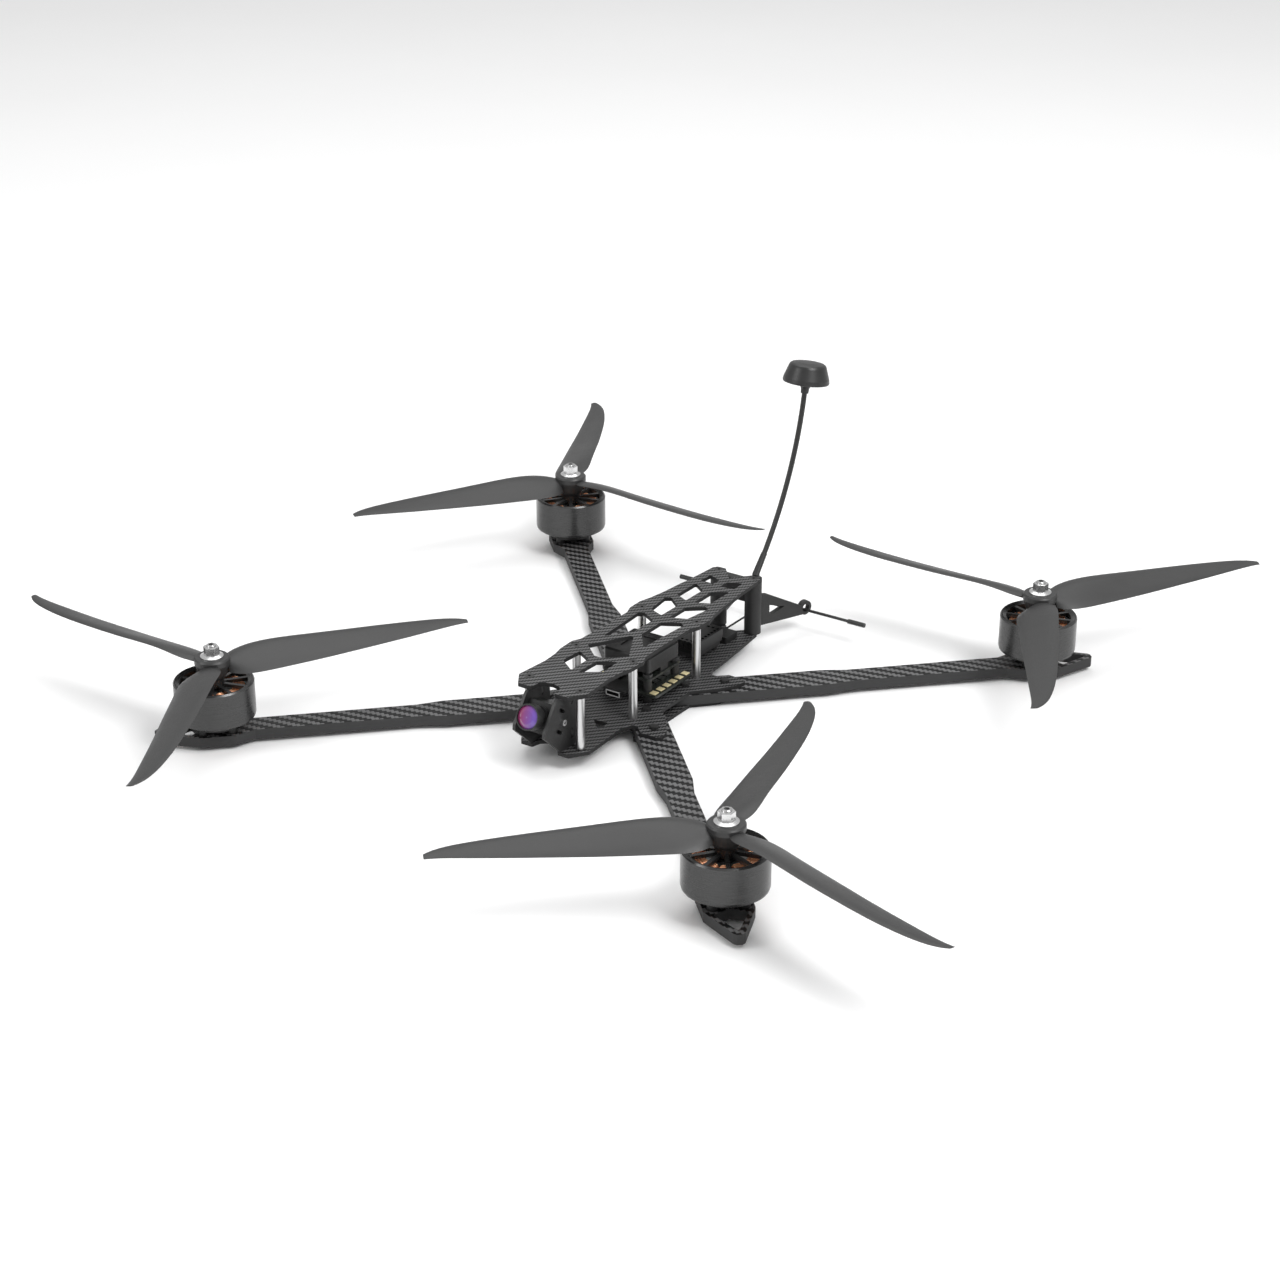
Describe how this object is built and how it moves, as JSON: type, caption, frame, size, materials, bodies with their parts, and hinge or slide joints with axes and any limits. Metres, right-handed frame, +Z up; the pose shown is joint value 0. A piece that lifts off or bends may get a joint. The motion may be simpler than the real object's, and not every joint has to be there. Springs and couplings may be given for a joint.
{
  "type": "quadcopter drone",
  "caption": "X-frame quadcopter drone with carbon arms, open outrunner motors, three-blade propellers, a tilting nose camera and rear antennas.",
  "frame": {"origin": "centre of the bottom plate's lower face, on the crossing of the two motor diagonals", "axes": "+X towards the nose and its camera, +Y to the drone's left, +Z up through the top plate"},
  "size_m": [0.6689, 0.6979, 0.1835],
  "materials": {
    "carbon_arm": "satin woven carbon laminate",
    "carbon_plate": "satin woven carbon laminate",
    "black_screw": "black oxide",
    "silver_aluminium": "satin turned aluminium",
    "motor_shell": "satin grey-black anodised",
    "motor_base": "satin black anodised",
    "lamination": "black coated steel laminations",
    "copper_wire": "enamelled copper wire",
    "shaft_steel": "ground steel",
    "bright_nut": "bright machined",
    "propeller_plastic": "matte glass-filled nylon",
    "cage_plate": "satin black",
    "camera_black": "satin black",
    "lens_glass": "coated glass",
    "circuit_board": "black solder mask",
    "grommet_rubber": "matte rubber",
    "socket_plastic": "moulded plastic",
    "vtx_case": "black anodised",
    "heatsink_black": "black anodised fins",
    "printed_holder": "printed flexible polymer",
    "antenna_plastic": "matte moulded plastic"
  },
  "bodies": {
    "airframe": {"antenna_cap": "antenna_plastic", "antenna_lead": "antenna_plastic", "antenna_mount": "printed_holder", "antenna_stalk": "antenna_plastic", "arm_bolts": "black_screw", "arm_front_left": "carbon_arm", "arm_front_right": "carbon_arm", "arm_rear_left": "carbon_arm", "arm_rear_right": "carbon_arm", "bottom_plate": "carbon_plate", "camera_plate_left": "cage_plate", "camera_plate_right": "cage_plate", "esc_board": "circuit_board", "flight_controller": "circuit_board", "front_socket": "socket_plastic", "mid_plate": "carbon_plate", "motor_base_front_left": "motor_base", "motor_base_front_right": "motor_base", "motor_base_rear_left": "motor_base", "motor_base_rear_right": "motor_base", "motor_bearings": "shaft_steel", "motor_screws": "black_screw", "receiver": "circuit_board", "stack_cover": "socket_plastic", "stack_screws": "black_screw", "stack_spacers": "grommet_rubber", "standoff_screws": "black_screw", "standoffs": "silver_aluminium", "stator_front_left": "lamination", "stator_front_right": "lamination", "stator_rear_left": "lamination", "stator_rear_right": "lamination", "t_antenna": "antenna_plastic", "top_plate": "carbon_plate", "video_transmitter": "vtx_case", "vtx_heatsink": "heatsink_black", "windings_front_left": "copper_wire", "windings_front_right": "copper_wire", "windings_rear_left": "copper_wire", "windings_rear_right": "copper_wire"},
    "rotor_front_left": {"bell_front_left": "motor_shell", "shaft_front_left": "shaft_steel", "propeller_front_left": "propeller_plastic", "prop_nut_front_left": "bright_nut"},
    "rotor_rear_left": {"bell_rear_left": "motor_shell", "shaft_rear_left": "shaft_steel", "propeller_rear_left": "propeller_plastic", "prop_nut_rear_left": "bright_nut"},
    "rotor_rear_right": {"bell_rear_right": "motor_shell", "shaft_rear_right": "shaft_steel", "propeller_rear_right": "propeller_plastic", "prop_nut_rear_right": "bright_nut"},
    "rotor_front_right": {"bell_front_right": "motor_shell", "shaft_front_right": "shaft_steel", "propeller_front_right": "propeller_plastic", "prop_nut_front_right": "bright_nut"},
    "camera": {"camera_body": "camera_black", "camera_lens": "camera_black", "camera_glass": "lens_glass", "camera_screws": "black_screw"}
  },
  "joints": [
    {"name": "rotor_spin_front_left", "type": "hinge", "parent": "airframe", "child": "rotor_front_left", "pos_m": [0.18804, 0.18673, 0.02], "axis": [0, 0, 1], "continuous": true},
    {"name": "rotor_spin_rear_left", "type": "hinge", "parent": "airframe", "child": "rotor_rear_left", "pos_m": [-0.18804, 0.18673, 0.02], "axis": [0, 0, 1], "continuous": true},
    {"name": "rotor_spin_rear_right", "type": "hinge", "parent": "airframe", "child": "rotor_rear_right", "pos_m": [-0.18804, -0.18673, 0.02], "axis": [0, 0, 1], "continuous": true},
    {"name": "rotor_spin_front_right", "type": "hinge", "parent": "airframe", "child": "rotor_front_right", "pos_m": [0.18804, -0.18673, 0.02], "axis": [0, 0, 1], "continuous": true},
    {"name": "camera_tilt", "type": "hinge", "parent": "airframe", "child": "camera", "pos_m": [0.0975, 0, 0.031], "axis": [0, -1, 0], "range_deg": [-22, 23]}
  ]
}
